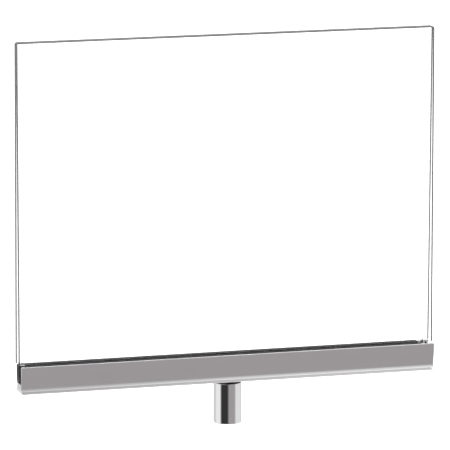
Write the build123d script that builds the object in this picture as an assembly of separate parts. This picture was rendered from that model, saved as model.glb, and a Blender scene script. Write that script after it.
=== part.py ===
from build123d import *
import os
from math import cos, radians, sin, tan

os.makedirs("parts", exist_ok=True)

# A twin-leaf clear guard on a short round post.
# X runs along the guard, -Y is its front, Z is up.
# The origin is the centre of the post's lower end. Sizes are in millimetres.

# Post
post_radius = 12.7
post_wall = 2.0
post_length = 37.4
post_chamfer = 0.5
plug_length = 15.0
stud_hole_radius = 4.25

# Swivel between the post and the channel
washer_thickness = 1.6
washer_bore_clearance = 0.3
shoulder_radius = 4.0
shoulder_clearance = 0.05
thread_radius = 3.0
thread_length = 11.0
thread_clearance = 0.05
pivot_head_radius = 5.0
pivot_head_height = 3.0
pivot_head_clearance = 0.3
pivot_key = 4.0
pivot_key_depth = 1.8
spring_height = 0.8
spring_thickness = 0.5
spring_bore_clearance = 0.15
swivel_floor = 4.0
pivot_head_sink = 0.1

# Channel, an extrusion with open ends
channel_length = 388.0
rim_wall = 2.1
rim_straight = 4.0
rim_round = 0.9
rim_inner_round = 0.2
waist_tuck = 2.0
waist_height = 7.4
flange_width = 25.4
flange_edge = 0.9
flange_round = 0.4
slot_bevel_width = 1.3
slot_bevel_height = 2.5

# Black liner and rail inside the slot
liner_thickness = 0.6
liner_left_gap = 3.3
liner_right_gap = 12.4
liner_proud = 0.9
rail_rim_gap = 1.2
rail_ledge_width = 1.8
rail_ledge_height = 2.9
rail_screw_count = 4
rail_screw_margin = 18.5
rail_screw_radius = 1.5
rail_screw_head_radius = 2.9
rail_screw_bite = 4.0
rail_screw_clearance = 0.1
rail_key = 2.0
rail_key_depth = 1.2

# Clear leaves
leaf_overlength = 0.6
leaf_height = 305.0
leaf_thickness = 3.0
leaf_entry = 13.0
leaf_shift = -1.3
leaf_corner = 2.0
leaf_arris = 0.25
leaf_clearance = 0.1
leaf_spacing = 11.4
rear_leaf_lean = 1.1
tongue_inset = 5.5
shoulder_gap = 1.5
tongue_corner = 1.0

# Sections that follow from what they hold
slot_half = leaf_spacing / 2 + leaf_thickness / 2 + leaf_clearance + liner_thickness
slot_depth = leaf_entry + rail_ledge_height + liner_thickness
web_thickness = swivel_floor + spring_height + pivot_head_height + pivot_head_sink
rim_half = slot_half + rim_wall
waist_half = rim_half - waist_tuck
flange_half = flange_width / 2
slot_floor_half = slot_half - slot_bevel_width
plug_radius = post_radius - post_wall

# Levels
washer_top = post_length + washer_thickness
spring_seat = washer_top + swivel_floor
head_base = spring_seat + spring_height
slot_floor = washer_top + web_thickness
rail_foot = slot_floor + liner_thickness
rim_level = slot_floor + slot_depth
leaf_foot = rim_level - leaf_entry
rail_top = rim_level - rail_rim_gap

# Lengths
leaf_width = channel_length + leaf_overlength
liner_length = channel_length - liner_left_gap - liner_right_gap
liner_centre = (liner_left_gap - liner_right_gap) / 2
rail_screw_spacing = (liner_length - 2 * rail_screw_margin) / (rail_screw_count - 1)
rail_screw_xs = [
    liner_centre + (i - (rail_screw_count - 1) / 2) * rail_screw_spacing
    for i in range(rail_screw_count)
]


def corner_near(shape, y, z):
    """The outline's corner nearest to a point across the guard."""
    return shape.vertices().sort_by_distance((y, z, 0))[0]


def both_sides(half):
    """A half section joined to its mirror image."""
    return half + mirror(half, about=Plane.YZ)


def along(section, length):
    """Extrude a section, drawn as (y, z), along the guard."""
    return extrude(Plane.YZ * section, length / 2, both=True)


def upright(radius, bottom, top):
    """A round bar on the post's axis, between two levels."""
    return Pos(0, 0, (bottom + top) / 2) * Cylinder(radius, top - bottom)


def cone(low_radius, high_radius, bottom, top):
    """A cone on the post's axis, between two levels."""
    return Pos(0, 0, (bottom + top) / 2) * Cone(low_radius, high_radius, top - bottom)


def key_socket(across_flats, depth, top):
    """A hexagonal recess that opens upwards at a level."""
    hexagon = RegularPolygon(across_flats / 2, 6, major_radius=False)
    return Pos(0, 0, top - depth) * extrude(hexagon, depth)


def channel_section():
    """The channel's outline: a flared foot with a thin lip, a waist and two walls."""
    base = washer_top
    wall_break = rim_level - rim_straight
    foot = Polyline((0, base), (flange_half, base), (flange_half, base + flange_edge))
    flank = TangentArc(
        (rim_half, wall_break),
        (waist_half, base + waist_height),
        tangent=(0, -1),
    )
    # the flare runs on from the flank without a corner
    flare = TangentArc(
        flank @ 1,
        (flange_half, base + flange_edge),
        tangent=flank % 1,
    )
    inside = Polyline(
        (rim_half, wall_break),
        (rim_half, rim_level),
        (slot_half, rim_level),
        (slot_half, slot_floor + slot_bevel_height),
        (slot_floor_half, slot_floor),
        (0, slot_floor),
        (0, base),
    )
    half = make_face(foot.edges() + flare.edges() + flank.edges() + inside.edges())
    half = fillet(corner_near(half, flange_half, base + flange_edge), flange_round)
    half = fillet(corner_near(half, flange_half, base), flange_round)
    half = fillet(corner_near(half, rim_half, rim_level), rim_round)
    half = fillet(corner_near(half, slot_half, rim_level), rim_inner_round)
    return both_sides(half)


def make_channel():
    channel = along(channel_section(), channel_length)
    channel -= upright(shoulder_radius + shoulder_clearance, washer_top, slot_floor)
    channel -= upright(pivot_head_radius + pivot_head_clearance, spring_seat, slot_floor)
    hole_foot = slot_floor - rail_screw_bite - rail_screw_clearance
    for x in rail_screw_xs:
        hole = upright(rail_screw_radius + rail_screw_clearance / 2, hole_foot, slot_floor)
        channel -= Pos(x, 0, 0) * hole
    return channel


def liner_section():
    """A thin U that lines the slot's floor, bevels and walls."""
    inner_half = slot_half - liner_thickness
    top = rim_level + liner_proud
    # the bevel keeps the liner's thickness, measured level
    bevel_slope = slot_bevel_width / slot_bevel_height
    inner_floor_half = slot_floor_half - liner_thickness * (1 - bevel_slope)
    outline = Polyline(
        (0, slot_floor),
        (slot_floor_half, slot_floor),
        (slot_half, slot_floor + slot_bevel_height),
        (slot_half, top),
        (inner_half, top),
        (inner_half, slot_floor + slot_bevel_height),
        (inner_floor_half, slot_floor + liner_thickness),
        (0, slot_floor + liner_thickness),
        (0, slot_floor),
    )
    return both_sides(make_face(outline.edges()))


def make_liner():
    liner = Pos(liner_centre, 0, 0) * along(liner_section(), liner_length)
    opening = pivot_head_radius + pivot_head_clearance
    liner -= upright(opening, slot_floor, slot_floor + liner_thickness)
    for x in rail_screw_xs:
        hole = upright(rail_screw_radius + rail_screw_clearance, slot_floor, rail_foot)
        liner -= Pos(x, 0, 0) * hole
    return liner


def rail_section():
    """An inverted T: ledges carry the leaves and the stem holds them apart."""
    half_leaf = leaf_thickness / 2
    front_face = -(leaf_spacing / 2 - half_leaf - leaf_clearance)
    lean = radians(rear_leaf_lean)
    rear_base = leaf_spacing / 2 - (half_leaf + leaf_clearance) / cos(lean)
    rear_top = rear_base - (rail_top - leaf_foot) * tan(lean)
    return make_face(
        Polyline(
            (front_face, rail_top),
            (front_face, leaf_foot),
            (front_face - rail_ledge_width, leaf_foot),
            (front_face - rail_ledge_width, rail_foot),
            (rear_base + rail_ledge_width, rail_foot),
            (rear_base + rail_ledge_width, leaf_foot),
            (rear_base, leaf_foot),
            (rear_top, rail_top),
            (front_face, rail_top),
        ).edges()
    )


def screw_cone():
    """A screw's countersunk head, which also cuts its seat in the rail."""
    head_height = rail_screw_head_radius - rail_screw_radius
    return cone(rail_screw_radius, rail_screw_head_radius, rail_top - head_height, rail_top)


def make_rail():
    rail = Pos(liner_centre, 0, 0) * along(rail_section(), liner_length)
    for x in rail_screw_xs:
        hole = upright(rail_screw_radius + rail_screw_clearance, rail_foot, rail_top)
        rail -= Pos(x, 0, 0) * (hole + screw_cone())
    return rail


def make_rail_screws():
    foot = slot_floor - rail_screw_bite
    screw = upright(rail_screw_radius, foot, rail_top) + screw_cone()
    screw -= key_socket(rail_key, rail_key_depth, rail_top)
    return Compound(children=[Pos(x, 0, 0) * screw for x in rail_screw_xs])


def make_leaf():
    """A clear leaf, upright, with its foot's centre at the origin."""
    half = leaf_width / 2
    tongue_half = half - tongue_inset
    shoulder = leaf_entry + shoulder_gap
    outline = Polyline(
        (-tongue_half, 0),
        (tongue_half, 0),
        (tongue_half, shoulder),
        (half, shoulder),
        (half, leaf_height),
        (-half, leaf_height),
        (-half, shoulder),
        (-tongue_half, shoulder),
        (-tongue_half, 0),
    )
    face = make_face(outline.edges())
    face = fillet(face.vertices().group_by(Axis.Y)[-1], leaf_corner)
    face = fillet(face.vertices().group_by(Axis.Y)[0], tongue_corner)
    leaf = extrude(Plane.XZ * face, leaf_thickness / 2, both=True)
    front_and_back = leaf.faces().sort_by(Axis.Y)
    rims = front_and_back[0].edges() + front_and_back[-1].edges()
    return chamfer(rims, leaf_arris)


def place_front_leaf():
    return Pos(leaf_shift, -leaf_spacing / 2, leaf_foot) * make_leaf()


def place_rear_leaf():
    lift = (leaf_thickness / 2 - leaf_arris) * sin(radians(rear_leaf_lean))
    seat = Pos(leaf_shift, leaf_spacing / 2, leaf_foot + lift)
    return seat * Rot(X=rear_leaf_lean) * make_leaf()


def make_post():
    tube = upright(post_radius, 0, post_length)
    tube = chamfer(tube.edges().filter_by(GeomType.CIRCLE), post_chamfer)
    return tube - upright(plug_radius, 0, post_length)


def make_top_plug():
    foot = post_length - plug_length
    plug = upright(plug_radius, foot, post_length)
    return plug - upright(thread_radius + thread_clearance, foot, post_length)


def make_bottom_plug():
    plug = upright(plug_radius, 0, plug_length)
    return plug - upright(stud_hole_radius, 0, plug_length)


def make_washer():
    washer = upright(post_radius, post_length, washer_top)
    return washer - upright(shoulder_radius + washer_bore_clearance, post_length, washer_top)


def make_spring():
    """A coned disc spring under the pivot screw's head."""
    rise = spring_height - spring_thickness
    inner = shoulder_radius + spring_bore_clearance
    half = Polyline(
        (inner, spring_seat + rise),
        (pivot_head_radius, spring_seat),
        (pivot_head_radius, spring_seat + spring_thickness),
        (inner, spring_seat + spring_height),
        (inner, spring_seat + rise),
    )
    return revolve(Plane.XZ * make_face(half.edges()), Axis.Z)


def make_pivot_screw():
    head_top = head_base + pivot_head_height
    screw = upright(pivot_head_radius, head_base, head_top)
    screw += upright(shoulder_radius, post_length, head_base)
    screw += upright(thread_radius, post_length - thread_length, post_length)
    return screw - key_socket(pivot_key, pivot_key_depth, head_top)


parts = {
    "base_channel": make_channel(),
    "channel_liner": make_liner(),
    "spacer_rail": make_rail(),
    "rail_screws": make_rail_screws(),
    "front_leaf": place_front_leaf(),
    "rear_leaf": place_rear_leaf(),
    "stub_post": make_post(),
    "top_plug": make_top_plug(),
    "bottom_plug": make_bottom_plug(),
    "swivel_washer": make_washer(),
    "disc_spring": make_spring(),
    "pivot_screw": make_pivot_screw(),
}

for name, shape in parts.items():
    export_step(shape, f"parts/{name}.step")
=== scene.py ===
import math

import bpy
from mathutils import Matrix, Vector


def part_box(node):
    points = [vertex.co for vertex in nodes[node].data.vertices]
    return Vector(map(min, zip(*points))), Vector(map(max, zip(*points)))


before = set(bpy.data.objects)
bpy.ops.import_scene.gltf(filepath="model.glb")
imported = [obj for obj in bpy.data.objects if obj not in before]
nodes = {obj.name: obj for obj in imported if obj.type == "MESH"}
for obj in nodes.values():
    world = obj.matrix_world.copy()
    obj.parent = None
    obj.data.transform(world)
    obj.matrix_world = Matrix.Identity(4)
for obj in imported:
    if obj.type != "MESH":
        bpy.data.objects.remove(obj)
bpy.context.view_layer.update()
bpy.ops.object.select_all(action="DESELECT")

cameraSettings = {
    "aim": (-0.0022, 0.0, 0.1815),
    "azimuth": -16.2,
    "elevation": 10.4,
    "distance": 4.3,
    "lens": 382,
    "sensor": 36,
    "clip": (0.1, 60),
}


def placeCamera(s):
    a, e = math.radians(s["azimuth"]), math.radians(s["elevation"])
    back = Vector((math.sin(a) * math.cos(e), -math.cos(a) * math.cos(e), math.sin(e)))
    bpy.ops.object.camera_add(location=Vector(s["aim"]) + back * s["distance"])
    cam = bpy.context.object
    cam.name = "mainCamera"
    cam.rotation_euler = (-back).to_track_quat("-Z", "Y").to_euler()
    cam.data.sensor_width = s["sensor"]
    cam.data.lens = s["lens"]
    cam.data.clip_start, cam.data.clip_end = s["clip"]
    bpy.context.scene.camera = cam


placeCamera(cameraSettings)
bpy.context.scene.view_settings.view_transform = "Standard"
print("camera placed")


layout = {"across": 200, "down": 260, "perRow": 12}  # where new nodes land in the editor
black, white = (0, 0, 0), (1, 1, 1)


# a node tree with short ways to add, link and mix nodes
class Tree:
    def __init__(self, tree):
        self.tree = tree
        self.count = 0

    def add(self, kind, values=None, **links):
        node = self.tree.nodes.new(kind)
        self.count += 1
        down, across = divmod(self.count, layout["perRow"])
        node.location = (layout["across"] * across, -layout["down"] * down)
        for name, value in (values or {}).items():
            if name in node.inputs:
                node.inputs[name].default_value = value
            else:
                setattr(node, name, value)
        for name, source in links.items():
            self.link(source, node.inputs[name.replace("_", " ")])
        return node

    def link(self, source, socket):
        self.tree.links.new(source, socket)

    def math(self, operation, a, b=None, c=None, clamp=False):
        node = self.tree.nodes.new("ShaderNodeMath")
        node.operation = operation
        node.use_clamp = clamp
        for i, v in enumerate((a, b, c)):
            if v is None:
                continue
            if isinstance(v, (int, float)):
                node.inputs[i].default_value = v
            else:
                self.link(v, node.inputs[i])
        return node.outputs[0]

    def ramp(self, source, stops):
        node = self.tree.nodes.new("ShaderNodeValToRGB")
        ramp = node.color_ramp
        while len(ramp.elements) < len(stops):
            ramp.elements.new(0.5)
        for element, (place, colour) in zip(ramp.elements, stops):
            element.position = place
            element.color = (*colour, 1)
        self.link(source, node.inputs[0])
        return node.outputs[0]

    def mix(self, factor, a, b, blend="MIX"):
        node = self.tree.nodes.new("ShaderNodeMix")
        node.data_type = "RGBA"
        node.blend_type = blend
        for i, v in ((0, factor), (6, a), (7, b)):
            if isinstance(v, (int, float)):
                node.inputs[i].default_value = v
            elif isinstance(v, tuple):
                node.inputs[i].default_value = (*v, 1)
            else:
                self.link(v, node.inputs[i])
        return node.outputs[2]


def newMaterial(name):
    material = bpy.data.materials.new(name)
    material.use_nodes = True
    material.node_tree.nodes.clear()
    return material, Tree(material.node_tree)


studio = {
    "backdrop": 1.17,
    "floorSize": 14.0,
    "floorLevel": -0.0001,
    "floorPaint": 0.8,
    "floorGlow": 0.85,
    # what stands round the object: first and last azimuth in degrees, and tone
    # azimuth is 0 in front and 90 to the object's right
    "panels": [
        (-180, -130, 0.75),  # wall
        (-120, -80, 1.0),  # left softbox
        (-65, -15, 0.04),  # black flag
        (0, 45, 0.4),  # grey board
        (60, 110, 0.9),  # right softbox
        (120, 180, 0.75),  # wall
    ],
    # a grey board hung overhead, by how far a direction leans to the right
    "board": (0.0, 0.2),
    "boardEdge": 0.1,
    "boardTone": 0.5,
    # lowest and highest elevation in degrees over which one tone gives way to the next
    "floorBand": (-62, -52),
    "skyBand": (20, 45),
    "zenithBand": (60, 80),
    "backRise": 6.0,  # how fast the sky turns to the back's tone
    "skyTone": (0.78, 0.78, 0.79),
    "zenithTone": (1.15, 1.15, 1.16),
    "backTone": (1.4, 1.4, 1.4),
    "floorTone": (1.3, 1.3, 1.3),
}


def warmGrey(tone):
    # the greys are a little warm, the whites are plain
    warmth = 0.03 if tone < 0.6 else 0.0
    return (tone * (1 + warmth), tone * (1 - warmth / 2), tone * (1 - warmth / 3))


def makeWorld(s):
    world = bpy.data.worlds.new("studioWorld")
    bpy.context.scene.world = world
    world.use_nodes = True
    world.node_tree.nodes.clear()
    t = Tree(world.node_tree)
    direction = t.add("ShaderNodeTexCoord").outputs["Generated"]
    split = t.add("ShaderNodeSeparateXYZ", Vector=direction)
    away = t.math("MULTIPLY", split.outputs["Y"], -1.0)
    angle = t.math("ARCTAN2", split.outputs["X"], away)
    turn = t.math("MULTIPLY_ADD", angle, 1 / (2 * math.pi), 0.5)
    rise = t.math("ARCSINE", split.outputs["Z"])
    level = t.math("MULTIPLY_ADD", rise, 1 / math.pi, 0.5)

    def band(degrees):
        return t.ramp(level, [(end / 180 + 0.5, tone) for end, tone in zip(degrees, (black, white))])

    stops = [(azimuth / 360 + 0.5, warmGrey(tone)) for *ends, tone in s["panels"] for azimuth in ends]
    around = t.ramp(turn, stops)
    tone = t.mix(band(s["floorBand"]), s["floorTone"], around)
    upper = t.mix(band(s["zenithBand"]), s["skyTone"], s["zenithTone"])
    toBack = t.math("MULTIPLY", split.outputs["Y"], s["backRise"], clamp=True)
    upper = t.mix(toBack, upper, s["backTone"])
    side = t.math("MULTIPLY_ADD", split.outputs["X"], 0.5, 0.5)
    (start, end), edge, shade = s["board"], s["boardEdge"], s["boardTone"]
    stops = [(start - edge, 1.0), (start, shade), (end, shade), (end + edge, 1.0)]
    board = t.ramp(side, [(x / 2 + 0.5, (v, v, v)) for x, v in stops])
    upper = t.mix(1.0, upper, board, "MULTIPLY")
    tone = t.mix(band(s["skyBand"]), tone, upper)
    light = t.add("ShaderNodeLightPath")
    reflected = t.add("ShaderNodeBackground", {"Strength": 1.0}, Color=tone)
    plain = t.add("ShaderNodeBackground", {"Color": (*white, 1), "Strength": s["backdrop"]})
    both = t.add("ShaderNodeMixShader")
    t.link(light.outputs["Is Reflection Ray"], both.inputs[0])
    t.link(plain.outputs[0], both.inputs[1])
    t.link(reflected.outputs[0], both.inputs[2])
    t.add("ShaderNodeOutputWorld", Surface=both.outputs[0])


def makeFloor(s):
    bpy.ops.mesh.primitive_plane_add(size=s["floorSize"], location=(0, 0, s["floorLevel"]))
    floor = bpy.context.object
    floor.name = "studioFloor"
    material, t = newMaterial("paleFloor")
    paint = t.add("ShaderNodeBsdfDiffuse", {"Color": (*[s["floorPaint"]] * 3, 1)})
    glow = t.add("ShaderNodeEmission", {"Color": (*white, 1), "Strength": s["floorGlow"]})
    lit = t.add("ShaderNodeAddShader")
    t.link(paint.outputs[0], lit.inputs[0])
    t.link(glow.outputs[0], lit.inputs[1])
    clear = t.add("ShaderNodeBsdfTransparent")
    side = t.add("ShaderNodeNewGeometry")
    both = t.add("ShaderNodeMixShader")
    t.link(side.outputs["Backfacing"], both.inputs[0])
    t.link(lit.outputs[0], both.inputs[1])
    t.link(clear.outputs[0], both.inputs[2])
    t.add("ShaderNodeOutputMaterial", Surface=both.outputs[0])
    floor.data.materials.append(material)
    floor.visible_glossy = False


topSoftbox = {"place": (0.3, -0.5, 2.4), "aim": (0, 0, 0.1), "size": (1.6, 1.2), "power": 22}


def addLamp(name, s):
    bpy.ops.object.light_add(type="AREA", location=s["place"])
    lamp = bpy.context.object
    lamp.name = name
    lamp.data.shape = "RECTANGLE"
    lamp.data.size, lamp.data.size_y = s["size"]
    lamp.data.energy = s["power"]
    towards = Vector(s["aim"]) - Vector(s["place"])
    lamp.rotation_euler = towards.to_track_quat("-Z", "Y").to_euler()
    lamp.visible_glossy = False


makeWorld(studio)
makeFloor(studio)
addLamp("topSoftbox", topSoftbox)
print("studio ready")


# an effect that several finishes share, as a node group
def newGroup(name, inputs, outputs):
    group = bpy.data.node_groups.new(name, "ShaderNodeTree")
    for label, kind, value in inputs:
        socket = group.interface.new_socket(name=label, in_out="INPUT", socket_type=kind)
        socket.default_value = value
    for label, kind in outputs:
        group.interface.new_socket(name=label, in_out="OUTPUT", socket_type=kind)
    t = Tree(group)
    return group, t, t.add("NodeGroupInput").outputs, t.add("NodeGroupOutput").inputs


number, vector = "NodeSocketFloat", "NodeSocketVector"


def makeDrawnLines():
    # long fine lines left by drawing and buffing; Stretch is lines per metre along each axis
    lineShare = 0.6
    group, t, given, out = newGroup(
        "drawnLines",
        [
            ("Vector", vector, (0, 0, 0)),
            ("Stretch", vector, (20, 6000, 6000)),
            ("Low", number, 0.05),
            ("High", number, 0.12),
        ],
        [("Roughness", number), ("Height", number)],
    )
    scaled = t.add("ShaderNodeVectorMath", {"operation": "MULTIPLY"})
    t.link(given["Vector"], scaled.inputs[0])
    t.link(given["Stretch"], scaled.inputs[1])
    fineLook = {"Scale": 1.0, "Detail": 3.0, "Roughness": 0.6}
    lines = t.add("ShaderNodeTexNoise", fineLook, Vector=scaled.outputs[0])
    broad = t.add("ShaderNodeTexNoise", {"Scale": 35.0, "Detail": 2.0}, Vector=given["Vector"])
    rest = t.math("MULTIPLY", broad.outputs["Fac"], 1 - lineShare)
    both = t.math("MULTIPLY_ADD", lines.outputs["Fac"], lineShare, rest)
    spread = t.add("ShaderNodeMapRange", {"From Min": 0.3, "From Max": 0.7})
    t.link(both, spread.inputs["Value"])
    t.link(given["Low"], spread.inputs["To Min"])
    t.link(given["High"], spread.inputs["To Max"])
    t.link(spread.outputs["Result"], out["Roughness"])
    t.link(lines.outputs["Fac"], out["Height"])
    return group


def makeSmudges():
    # soft handling marks, a little duller than the clean surface
    group, t, given, out = newGroup(
        "smudges",
        [("Vector", vector, (0, 0, 0)), ("Scale", number, 25.0), ("Amount", number, 0.5)],
        [("Mask", number)],
    )
    cloudLook = {"Detail": 4.0, "Roughness": 0.65, "Distortion": 0.6}
    cloud = t.add("ShaderNodeTexNoise", cloudLook, Vector=given["Vector"], Scale=given["Scale"])
    fine = t.add("ShaderNodeTexNoise", {"Scale": 900.0, "Detail": 2.0}, Vector=given["Vector"])
    shaped = t.add("ShaderNodeMapRange", {"From Min": 0.5, "From Max": 0.75})
    t.link(cloud.outputs["Fac"], shaped.inputs["Value"])
    fineSwing, fineBase = 0.8, 0.4
    breaks = t.math("MULTIPLY_ADD", fine.outputs["Fac"], fineSwing, fineBase)
    broken = t.math("MULTIPLY", shaped.outputs["Result"], breaks)
    t.link(t.math("MULTIPLY", broken, given["Amount"], clamp=True), out["Mask"])
    return group


def makeTurnedRings():
    # lathe rings round the part's upright axis
    group, t, given, out = newGroup(
        "turnedRings",
        [("Vector", vector, (0, 0, 0)), ("Pitch", number, 0.00018), ("Uneven", number, 0.4)],
        [("Height", number), ("Mask", number)],
    )
    split = t.add("ShaderNodeSeparateXYZ", Vector=given["Vector"])
    flat = t.add("ShaderNodeCombineXYZ", X=split.outputs["X"], Y=split.outputs["Y"])
    radius = t.add("ShaderNodeVectorMath", {"operation": "LENGTH"}, Vector=flat.outputs[0])
    shake = t.add("ShaderNodeTexNoise", {"Scale": 260.0, "Detail": 2.0}, Vector=given["Vector"])
    outwards = t.math("DIVIDE", radius.outputs["Value"], given["Pitch"])
    upwards = t.math("DIVIDE", split.outputs["Z"], given["Pitch"])
    turns = t.math("MULTIPLY", t.math("ADD", outwards, upwards), 2 * math.pi)
    shakeReach = 6.0
    wander = t.math("MULTIPLY", shake.outputs["Fac"], given["Uneven"])
    phase = t.math("MULTIPLY_ADD", wander, shakeReach, turns)
    wave = t.math("SINE", phase)
    t.link(t.math("MULTIPLY_ADD", wave, 0.5, 0.5), out["Height"])
    t.link(shake.outputs["Fac"], out["Mask"])
    return group


def makeGrain():
    # moulded or rolled skin: fine pebbling with sparse specks
    group, t, given, out = newGroup(
        "grain",
        [("Vector", vector, (0, 0, 0)), ("Scale", number, 2500.0)],
        [("Height", number), ("Specks", number)],
    )
    cellShare, fuzzShare = 0.7, 0.5
    speckStart, speckFull = 0.66, 0.74
    smooth = {"feature": "SMOOTH_F1"}
    cells = t.add("ShaderNodeTexVoronoi", smooth, Vector=given["Vector"], Scale=given["Scale"])
    fuzz = t.add("ShaderNodeTexNoise", {"Detail": 3.0}, Vector=given["Vector"], Scale=given["Scale"])
    softer = t.math("MULTIPLY", fuzz.outputs["Fac"], fuzzShare)
    t.link(t.math("MULTIPLY_ADD", cells.outputs["Distance"], cellShare, softer), out["Height"])
    specks = t.add("ShaderNodeTexNoise", {"Scale": 700.0, "Detail": 1.0}, Vector=given["Vector"])
    t.link(t.ramp(specks.outputs["Fac"], [(speckStart, black), (speckFull, white)]), out["Specks"])
    return group


drawnLines, smudges, turnedRings, grain = makeDrawnLines(), makeSmudges(), makeTurnedRings(), makeGrain()
print("shared effects ready")


def startMaterial(name, plain):
    material, t = newMaterial(name)
    shader = t.add("ShaderNodeBsdfPrincipled", plain)
    t.add("ShaderNodeOutputMaterial", Surface=shader.outputs[0])
    place = t.add("ShaderNodeTexCoord").outputs["Object"]
    return material, t, shader, place


def useGroup(t, group, values=None, **links):
    node = t.tree.nodes.new("ShaderNodeGroup")
    node.node_tree = group
    for name, value in (values or {}).items():
        node.inputs[name].default_value = value
    for name, source in links.items():
        t.link(source, node.inputs[name])
    return node.outputs


def bumpTo(t, shader, height, depth):
    bump = t.add("ShaderNodeBump", {"Strength": 1.0, "Distance": depth}, Height=height)
    t.link(bump.outputs[0], shader.inputs["Normal"])


def coverWith(material, *names):
    for name in names:
        mesh = nodes[name].data
        mesh.materials.clear()
        mesh.materials.append(material)


def makeChrome(name, s):
    material, t, shader, place = startMaterial(name, {"Metallic": 1.0, "IOR": 1.5})
    low, high = s["gloss"]
    lines = useGroup(t, drawnLines, {"Stretch": s["stretch"], "Low": low, "High": high}, Vector=place)
    marks = useGroup(t, smudges, {"Scale": s["markScale"], "Amount": s["marks"]}, Vector=place)
    tone = t.mix(marks["Mask"], s["tone"], s["markTone"])
    if "footHighlightTone" in s:  # painted highlight: the foot's thin edge is coloured brighter than the walls to stand in for its brighter reflection
        split = t.add("ShaderNodeSeparateXYZ", Vector=place)
        reach = {"From Min": s["footTop"], "From Max": s["footBase"]}
        footHighlight = t.add("ShaderNodeMapRange", reach, Value=split.outputs["Z"])
        tone = t.mix(footHighlight.outputs["Result"], tone, s["footHighlightTone"])
    t.link(tone, shader.inputs["Base Color"])
    rough = t.math("MULTIPLY_ADD", marks["Mask"], s["markDull"], lines["Roughness"])
    t.link(rough, shader.inputs["Roughness"])
    bumpTo(t, shader, lines["Height"], s["lineDepth"])
    return material


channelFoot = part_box("base_channel")[0].z
channelChrome = {"tone": (0.79, 0.785, 0.795), "markTone": (0.7, 0.7, 0.72),
                 "stretch": (9.0, 5200.0, 5200.0),
                 "gloss": (0.1, 0.16), "markScale": 22.0, "marks": 0.35, "markDull": 0.12,
                 "lineDepth": 1.5e-6,
                 # painted highlight: the foot tone brightens the flange's lower edge
                 "footHighlightTone": (1.0, 0.99, 0.98), "footTop": channelFoot + 0.0045,
                 "footBase": channelFoot + 0.0008}
postChrome = {"tone": (0.8, 0.8, 0.81), "markTone": (0.72, 0.72, 0.74), "stretch": (4200.0, 4200.0, 30.0),
              "gloss": (0.05, 0.09), "markScale": 60.0, "marks": 0.3, "markDull": 0.12, "lineDepth": 1.0e-6}
coverWith(makeChrome("channelChrome", channelChrome), "base_channel")
coverWith(makeChrome("postChrome", postChrome), "stub_post")

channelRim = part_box("base_channel")[1].z
leafSheet = {"tone": (0.99, 0.993, 0.99), "ior": 1.49, "haze": 0.02, "markScale": 9.0, "marks": 0.6,
             "tongueInset": 0.0055, "shoulderGap": 0.0015, "shadeBorder": 0.0009,
             # painted shade: the edge tones are near-black to stand in for the dark lines along the sheet's
             # cut edges
             "edgeShadeTone": (0.013, 0.0125, 0.011), "edgeShadePale": (0.053, 0.051, 0.046),
             "edgeRough": 0.3, "sawRough": 0.15, "sawScale": 1400.0}


def makeClear(name, node, s):
    plain = {"Metallic": 0.0, "Transmission Weight": 1.0, "IOR": s["ior"]}
    material, t, shader, place = startMaterial(name, plain)
    # painted shade: a near-black border along the cut edges stands in for the dark lines the sheet's edges
    # show, set in where the tongue is narrower
    low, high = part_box(node)
    split = t.add("ShaderNodeSeparateXYZ", Vector=place)
    inTongue = t.math("LESS_THAN", split.outputs["Z"], channelRim + s["shoulderGap"])
    inset = t.math("MULTIPLY", inTongue, s["tongueInset"])

    def fromSides(across, first, last):
        return t.math("MINIMUM", t.math("SUBTRACT", across, first), t.math("SUBTRACT", last, across))

    fromEnds = fromSides(split.outputs["X"], low.x, high.x)
    fromEdges = fromSides(split.outputs["Z"], low.z, high.z)
    inwards = t.math("MINIMUM", t.math("SUBTRACT", fromEnds, inset), fromEdges)
    edge = t.math("LESS_THAN", inwards, s["shadeBorder"])
    saw = t.add("ShaderNodeTexNoise", {"Scale": s["sawScale"], "Detail": 2.0}, Vector=place)
    # painted shade: the border's colour varies between the two near-black edge tones
    sawnShade = t.mix(saw.outputs["Fac"], s["edgeShadeTone"], s["edgeShadePale"])
    t.link(t.mix(edge, s["tone"], sawnShade), shader.inputs["Base Color"])
    marks = useGroup(t, smudges, {"Scale": s["markScale"], "Amount": s["marks"]}, Vector=place)
    sawnRough = t.math("MULTIPLY_ADD", saw.outputs["Fac"], s["sawRough"], s["edgeRough"])
    satin = t.math("MULTIPLY", edge, sawnRough)
    t.link(t.math("MULTIPLY_ADD", marks["Mask"], s["haze"], satin), shader.inputs["Roughness"])
    return material


coverWith(makeClear("frontSheet", "front_leaf", leafSheet), "front_leaf")
coverWith(makeClear("rearSheet", "rear_leaf", leafSheet), "rear_leaf")


def makeBlack(name, s):
    plain = {"Metallic": s.get("metal", 0.0), "IOR": 1.5, "Sheen Weight": s.get("sheen", 0.0)}
    material, t, shader, place = startMaterial(name, plain)
    skin = useGroup(t, grain, {"Scale": s["grainScale"]}, Vector=place)
    cloud = t.add("ShaderNodeTexNoise", {"Scale": s["cloudScale"], "Detail": 4.0}, Vector=place)
    tone = t.mix(cloud.outputs["Fac"], s["dark"], s["pale"])
    t.link(t.mix(skin["Specks"], tone, s["dust"]), shader.inputs["Base Color"])
    low, high = s["gloss"]
    t.link(t.math("MULTIPLY_ADD", cloud.outputs["Fac"], high - low, low), shader.inputs["Roughness"])
    bumpTo(t, shader, skin["Height"], s["depth"])
    return material


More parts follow.
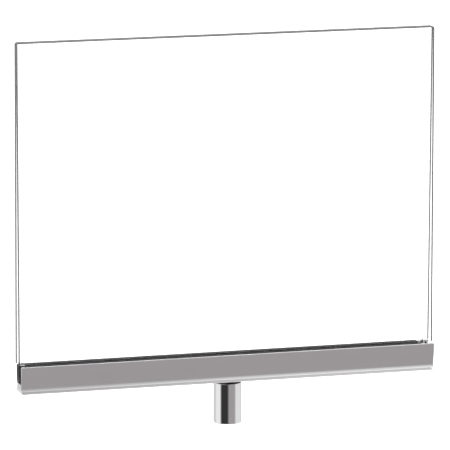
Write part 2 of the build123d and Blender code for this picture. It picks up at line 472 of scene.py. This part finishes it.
linerRubber = {"dark": (0.05, 0.048, 0.055), "pale": (0.085, 0.083, 0.09), "dust": (0.16, 0.16, 0.165),
               "grainScale": 3200.0, "cloudScale": 60.0, "gloss": (0.5, 0.75), "depth": 2e-5, "sheen": 0.15}
railPlastic = {"dark": (0.03, 0.03, 0.034), "pale": (0.06, 0.06, 0.066), "dust": (0.15, 0.15, 0.155),
               "grainScale": 2600.0, "cloudScale": 40.0, "gloss": (0.4, 0.6), "depth": 1.2e-5}
screwBlack = {"dark": (0.03, 0.03, 0.034), "pale": (0.07, 0.07, 0.078), "dust": (0.2, 0.19, 0.18),
              "grainScale": 4200.0, "cloudScale": 300.0, "gloss": (0.3, 0.5), "depth": 6e-6, "metal": 0.6}
coverWith(makeBlack("linerRubber", linerRubber), "channel_liner")
coverWith(makeBlack("railPlastic", railPlastic), "spacer_rail")
coverWith(makeBlack("screwBlack", screwBlack), "rail_screws")


def makeTurned(name, s):
    plain = {"Metallic": s["metal"], "IOR": 1.5, "Specular IOR Level": s.get("shine", 0.5)}
    material, t, shader, place = startMaterial(name, plain)
    rings = useGroup(t, turnedRings, {"Pitch": s["pitch"], "Uneven": s["uneven"]}, Vector=place)
    marks = useGroup(t, smudges, {"Scale": s["markScale"], "Amount": s["marks"]}, Vector=place)
    tone = t.mix(rings["Mask"], s["tone"], s["paleTone"])
    t.link(t.mix(marks["Mask"], tone, s["stain"]), shader.inputs["Base Color"])
    low, high = s["gloss"]
    t.link(t.math("MULTIPLY_ADD", rings["Height"], high - low, low), shader.inputs["Roughness"])
    bumpTo(t, shader, rings["Height"], s["depth"])
    return material


plugSteel = {"tone": (0.52, 0.52, 0.53), "paleTone": (0.6, 0.6, 0.61), "stain": (0.36, 0.34, 0.32),
             "metal": 1.0,
             "pitch": 0.00022, "uneven": 0.35, "markScale": 120.0, "marks": 0.6, "gloss": (0.24, 0.42),
             "depth": 8e-6}
springSteel = {"tone": (0.38, 0.38, 0.4), "paleTone": (0.46, 0.46, 0.48), "stain": (0.3, 0.26, 0.22),
               "metal": 1.0,
               "pitch": 0.0004, "uneven": 1.5, "markScale": 120.0, "marks": 0.8, "gloss": (0.3, 0.5),
               "depth": 3e-6}
screwSteel = {"tone": (0.46, 0.46, 0.48), "paleTone": (0.54, 0.54, 0.56), "stain": (0.34, 0.33, 0.33),
              "metal": 1.0,
              "pitch": 0.00015, "uneven": 0.3, "markScale": 120.0, "marks": 0.5, "gloss": (0.22, 0.38),
              "depth": 4e-6}
# partly painted shade: the washer is dark nylon, coloured darker still to stand in for the shadowed gap
# between channel and post
washerNylonAndGapShade = {"tone": (0.006, 0.006, 0.006), "paleTone": (0.011, 0.011, 0.011),
               "stain": (0.02, 0.02, 0.02),
               "metal": 0.0, "shine": 0.12, "pitch": 0.0003, "uneven": 0.6, "markScale": 120.0,
               "marks": 0.5, "gloss": (0.42, 0.6), "depth": 5e-6}
coverWith(makeTurned("plugSteel", plugSteel), "top_plug", "bottom_plug")
coverWith(makeTurned("springSteel", springSteel), "disc_spring")
coverWith(makeTurned("screwSteel", screwSteel), "pivot_screw")
coverWith(makeTurned("washerNylonAndGapShade", washerNylonAndGapShade), "swivel_washer")
print("finishes ready")
